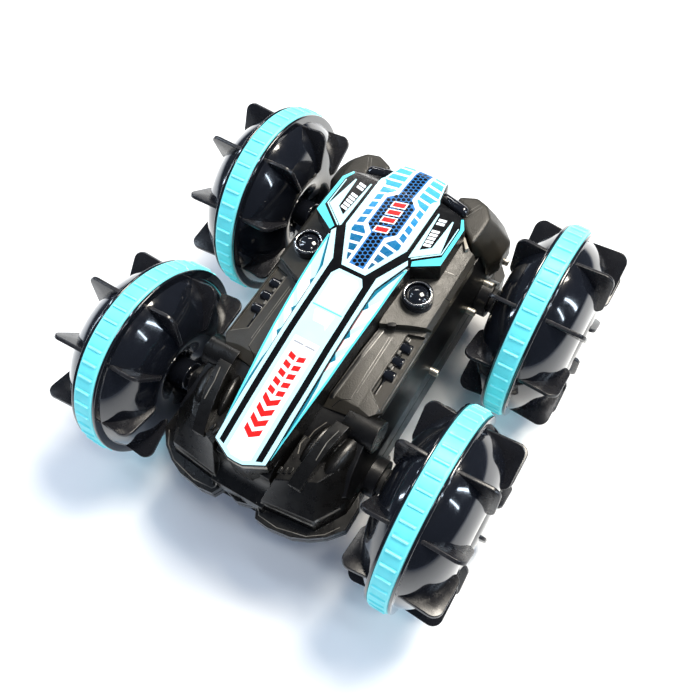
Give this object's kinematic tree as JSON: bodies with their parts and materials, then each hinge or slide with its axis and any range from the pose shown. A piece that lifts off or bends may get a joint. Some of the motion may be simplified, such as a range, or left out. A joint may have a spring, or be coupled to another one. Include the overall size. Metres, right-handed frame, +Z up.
{
  "type": "rc stunt car",
  "caption": "Double-sided amphibious remote-control stunt car with four paddle wheels, geared in pairs each side, on a low sealed body.",
  "frame": {"origin": "on the ground, under the middle of the four wheels", "axes": "+Z up, -Y towards the narrow nose, +X across the car"},
  "size_m": [0.173, 0.1752, 0.084],
  "materials": {
    "tyre_band": "soft satin rubber, fine ribs",
    "rim_gloss": "high gloss moulded shell",
    "gear_nylon": "moulded nylon",
    "steel": "zinc plated",
    "bush_brass": "turned",
    "seal_rubber": "matte black",
    "motor_can": "drawn can",
    "board": "solder mask over glass laminate",
    "battery_wrap": "shrink sleeve",
    "decal": "printed white, cyan and black film",
    "button_white": "white moulded cap",
    "lamp_metal": "bright plated ring",
    "lamp_gloss": "dark gloss lens",
    "gearbox_plastic": "moulded",
    "body_satin": "satin textured moulding"
  },
  "bodies": {
    "chassis": {"axle_bushes": "bush_brass", "axle_seals": "seal_rubber", "battery": "battery_wrap", "battery_door": "body_satin", "battery_door_screws": "steel", "battery_door_seal": "seal_rubber", "button_seal": "seal_rubber", "case_screws": "steel", "circuit_board": "board", "decals": "decal", "front_arches": "body_satin", "front_bumper": "body_satin", "gearbox_cover_left": "gearbox_plastic", "gearbox_cover_right": "gearbox_plastic", "lamp_lenses": "lamp_gloss", "lamp_rings": "lamp_metal", "lower_shell": "body_satin", "motor_left": "motor_can", "motor_right": "motor_can", "rear_fender_left": "body_satin", "rear_fender_right": "body_satin", "rear_lamps": "lamp_gloss", "shell_seal": "seal_rubber", "side_rail_left": "body_satin", "side_rail_right": "body_satin", "top_cover": "body_satin", "upper_shell": "body_satin"},
    "wheel_front_left": {"tyre_front_left": "tyre_band", "outer_rim_front_left": "rim_gloss", "inner_rim_front_left": "rim_gloss", "axle_front_left": "steel", "axle_gear_front_left": "gear_nylon", "wheel_screw_front_left": "steel"},
    "wheel_front_right": {"tyre_front_right": "tyre_band", "outer_rim_front_right": "rim_gloss", "inner_rim_front_right": "rim_gloss", "axle_front_right": "steel", "axle_gear_front_right": "gear_nylon", "wheel_screw_front_right": "steel"},
    "wheel_rear_left": {"tyre_rear_left": "tyre_band", "outer_rim_rear_left": "rim_gloss", "inner_rim_rear_left": "rim_gloss", "axle_rear_left": "steel", "axle_gear_rear_left": "gear_nylon", "wheel_screw_rear_left": "steel"},
    "wheel_rear_right": {"tyre_rear_right": "tyre_band", "outer_rim_rear_right": "rim_gloss", "inner_rim_rear_right": "rim_gloss", "axle_rear_right": "steel", "axle_gear_rear_right": "gear_nylon", "wheel_screw_rear_right": "steel"},
    "motor_pinion_left": {"motor_pinion_left": "bush_brass"},
    "reduction_gear_left": {"reduction_gear_left": "gear_nylon"},
    "idler_gear_front_left": {"idler_gear_front_left": "gear_nylon"},
    "idler_gear_rear_left": {"idler_gear_rear_left": "gear_nylon"},
    "motor_pinion_right": {"motor_pinion_right": "bush_brass"},
    "reduction_gear_right": {"reduction_gear_right": "gear_nylon"},
    "idler_gear_front_right": {"idler_gear_front_right": "gear_nylon"},
    "idler_gear_rear_right": {"idler_gear_rear_right": "gear_nylon"},
    "power_button": {"power_button": "button_white"}
  },
  "joints": [
    {"name": "front_left_wheel_spin", "type": "hinge", "parent": "chassis", "child": "wheel_front_left", "pos_m": [-0.0645, -0.0456, 0.042], "axis": [1, 0, 0], "continuous": true},
    {"name": "rear_left_wheel_spin", "type": "hinge", "parent": "chassis", "child": "wheel_rear_left", "pos_m": [-0.0645, 0.0456, 0.042], "axis": [1, 0, 0], "continuous": true},
    {"name": "front_left_idler_spin", "type": "hinge", "parent": "chassis", "child": "idler_gear_front_left", "pos_m": [-0.0309, -0.0192, 0.042], "axis": [1, 0, 0], "continuous": true},
    {"name": "rear_left_idler_spin", "type": "hinge", "parent": "chassis", "child": "idler_gear_rear_left", "pos_m": [-0.0309, 0.0192, 0.042], "axis": [1, 0, 0], "continuous": true},
    {"name": "left_reduction_spin", "type": "hinge", "parent": "chassis", "child": "reduction_gear_left", "pos_m": [-0.0309, 0, 0.042], "axis": [1, 0, 0], "continuous": true},
    {"name": "left_motor_spin", "type": "hinge", "parent": "chassis", "child": "motor_pinion_left", "pos_m": [-0.0279, -0.015, 0.042], "axis": [1, 0, 0], "continuous": true},
    {"name": "front_right_wheel_spin", "type": "hinge", "parent": "chassis", "child": "wheel_front_right", "pos_m": [0.0645, -0.0456, 0.042], "axis": [1, 0, 0], "continuous": true},
    {"name": "rear_right_wheel_spin", "type": "hinge", "parent": "chassis", "child": "wheel_rear_right", "pos_m": [0.0645, 0.0456, 0.042], "axis": [1, 0, 0], "continuous": true},
    {"name": "front_right_idler_spin", "type": "hinge", "parent": "chassis", "child": "idler_gear_front_right", "pos_m": [0.0309, -0.0192, 0.042], "axis": [1, 0, 0], "continuous": true},
    {"name": "rear_right_idler_spin", "type": "hinge", "parent": "chassis", "child": "idler_gear_rear_right", "pos_m": [0.0309, 0.0192, 0.042], "axis": [1, 0, 0], "continuous": true},
    {"name": "right_reduction_spin", "type": "hinge", "parent": "chassis", "child": "reduction_gear_right", "pos_m": [0.0309, 0, 0.042], "axis": [1, 0, 0], "continuous": true},
    {"name": "right_motor_spin", "type": "hinge", "parent": "chassis", "child": "motor_pinion_right", "pos_m": [0.0279, 0.015, 0.042], "axis": [1, 0, 0], "continuous": true},
    {"name": "power_button_press", "type": "slide", "parent": "chassis", "child": "power_button", "axis": [0, 0, -1], "range_m": [0, 0.0008], "stiffness_N_per_m": 300, "springref_m": -0.0005}
  ],
  "couplings": [
    {"joint": "rear_left_wheel_spin", "follows": "front_left_wheel_spin", "ratio": 1},
    {"joint": "front_left_idler_spin", "follows": "front_left_wheel_spin", "ratio": -0.83333},
    {"joint": "rear_left_idler_spin", "follows": "front_left_wheel_spin", "ratio": -0.83333},
    {"joint": "left_reduction_spin", "follows": "front_left_wheel_spin", "ratio": 2.5},
    {"joint": "left_motor_spin", "follows": "front_left_wheel_spin", "ratio": -10},
    {"joint": "rear_right_wheel_spin", "follows": "front_right_wheel_spin", "ratio": 1},
    {"joint": "front_right_idler_spin", "follows": "front_right_wheel_spin", "ratio": -0.83333},
    {"joint": "rear_right_idler_spin", "follows": "front_right_wheel_spin", "ratio": -0.83333},
    {"joint": "right_reduction_spin", "follows": "front_right_wheel_spin", "ratio": 2.5},
    {"joint": "right_motor_spin", "follows": "front_right_wheel_spin", "ratio": -10}
  ]
}
